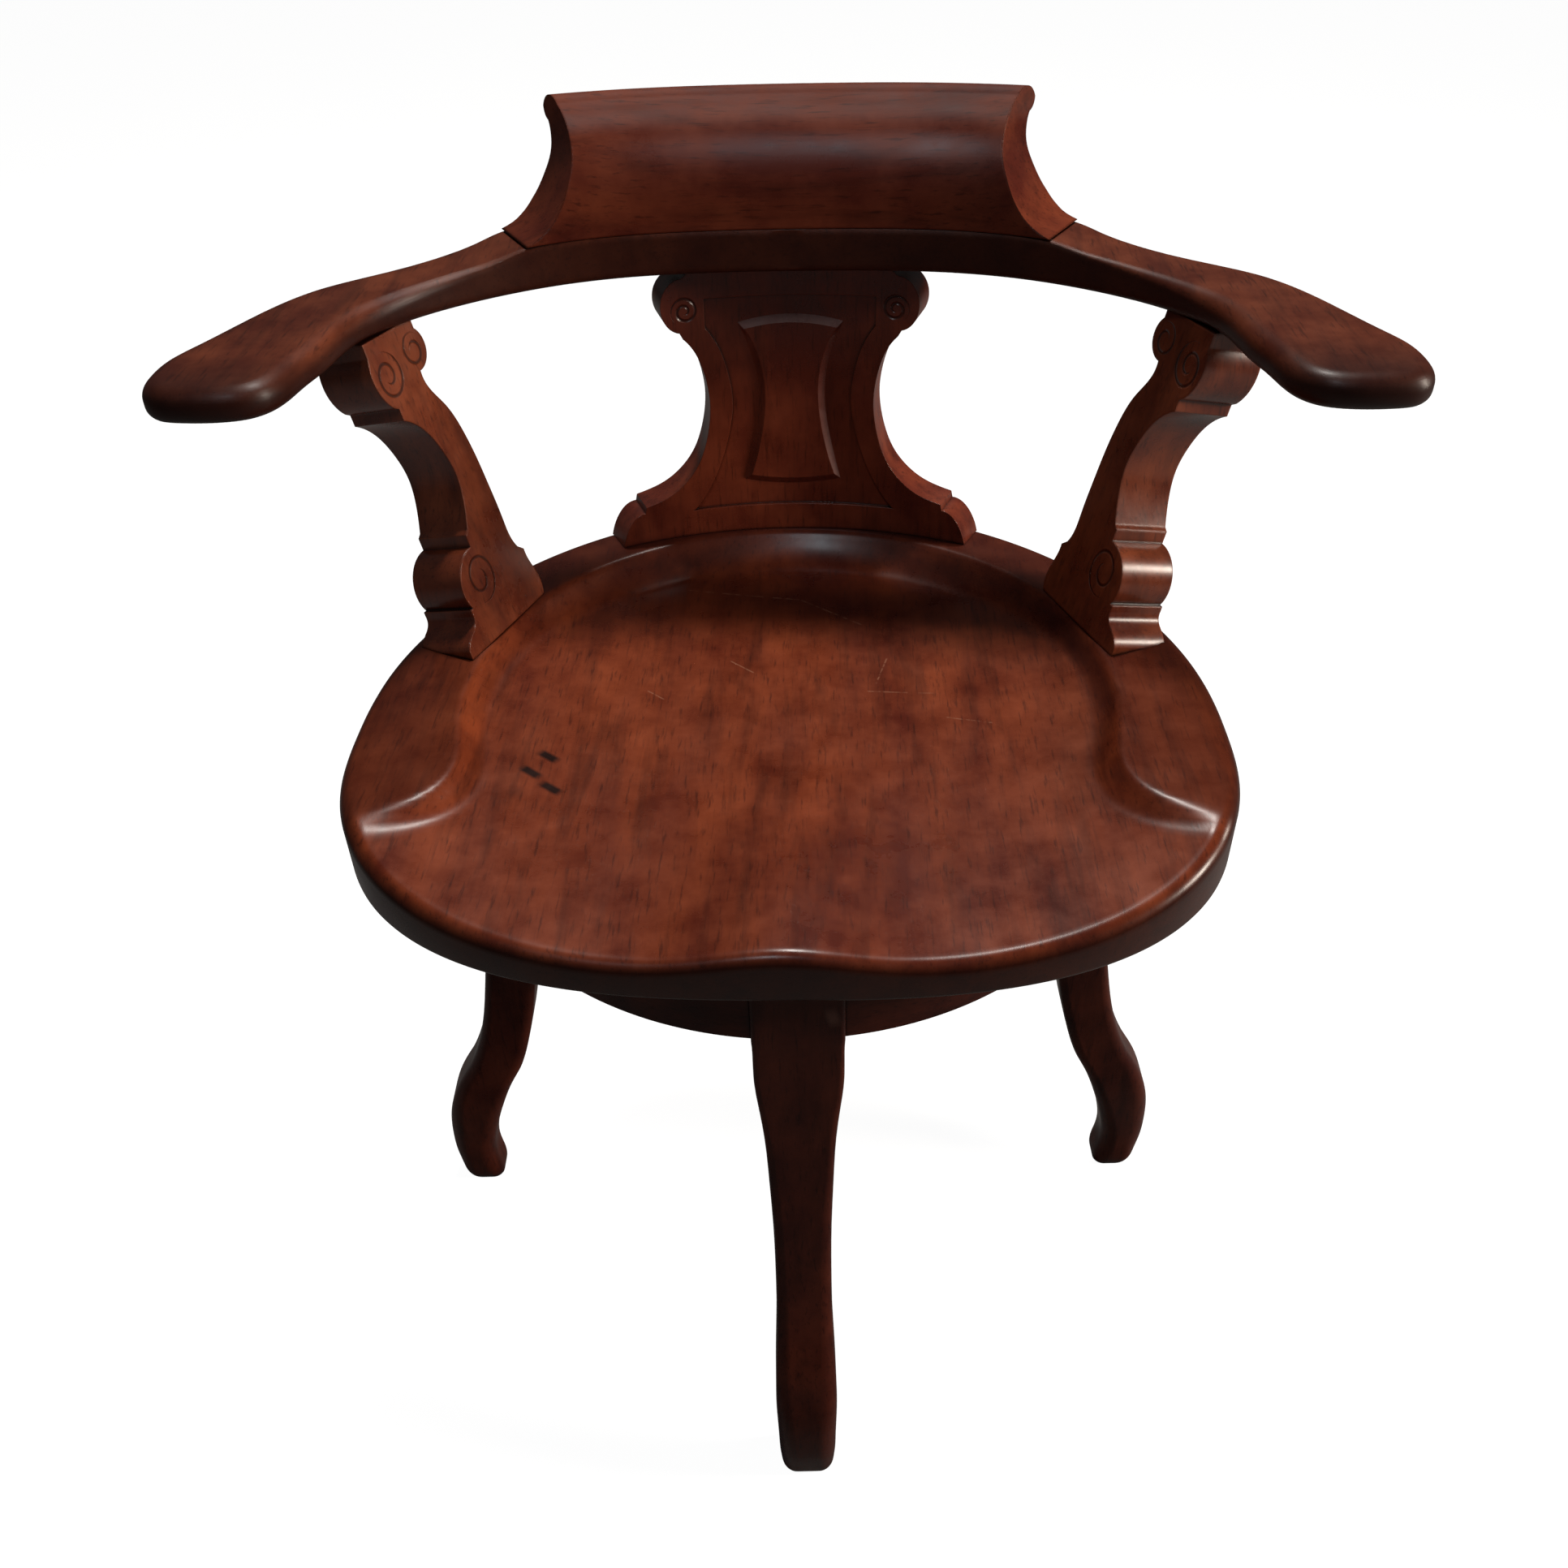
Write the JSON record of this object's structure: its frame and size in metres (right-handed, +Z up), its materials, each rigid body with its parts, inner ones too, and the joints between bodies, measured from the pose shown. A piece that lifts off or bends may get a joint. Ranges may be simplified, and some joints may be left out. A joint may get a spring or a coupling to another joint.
{
  "type": "captains chair",
  "caption": "Revolving wooden armchair with a saddle seat, bow-shaped arms, rolled crest rail, carved splat and scrolled supports on a swivel base with cabriole legs.",
  "frame": {"origin": "on the floor, on the swivel axis", "axes": "+Z up, the sitter faces -Y, +X to the sitter's left"},
  "size_m": [0.6502, 0.5366, 0.7573],
  "materials": {
    "mahogany": "satin French polish, dark red-brown",
    "seat_mahogany": "worn satin polish, dark red-brown with orange-brown wear",
    "frame_wood": "unpolished, stained",
    "dowel_wood": "plain",
    "steel": "dull",
    "iron": "black, worn",
    "spindle_steel": "turned, greased",
    "bronze": "dull"
  },
  "bodies": {
    "base": {"leg_front": "mahogany", "leg_left": "mahogany", "leg_right": "mahogany", "leg_rear": "mahogany", "apron_front_left": "mahogany", "apron_front_right": "mahogany", "apron_rear_left": "mahogany", "apron_rear_right": "mahogany", "cross_rail_lower": "frame_wood", "cross_rail_upper": "frame_wood", "apron_dowels": "dowel_wood", "cross_rail_screws": "steel", "socket_plate": "iron", "socket_plate_screws": "steel", "thrust_ring": "bronze"},
    "seat": {"seat_board": "seat_mahogany", "back_splat": "mahogany", "arm_support_left": "mahogany", "arm_support_right": "mahogany", "arm_left": "mahogany", "arm_right": "mahogany", "bow_dowels": "dowel_wood", "crest_rail": "mahogany", "crest_screws": "steel", "crest_screw_plugs": "mahogany", "support_head_dowels": "dowel_wood", "support_screws": "steel", "seat_plate": "iron", "seat_plate_screws": "steel", "spindle": "spindle_steel", "spindle_washer": "iron", "spindle_nut": "iron", "split_pin": "steel"}
  },
  "joints": [
    {"name": "seat_swivel", "type": "hinge", "parent": "base", "child": "seat", "pos_m": [0, 0, 0.42], "axis": [0, 0, 1], "continuous": true}
  ]
}
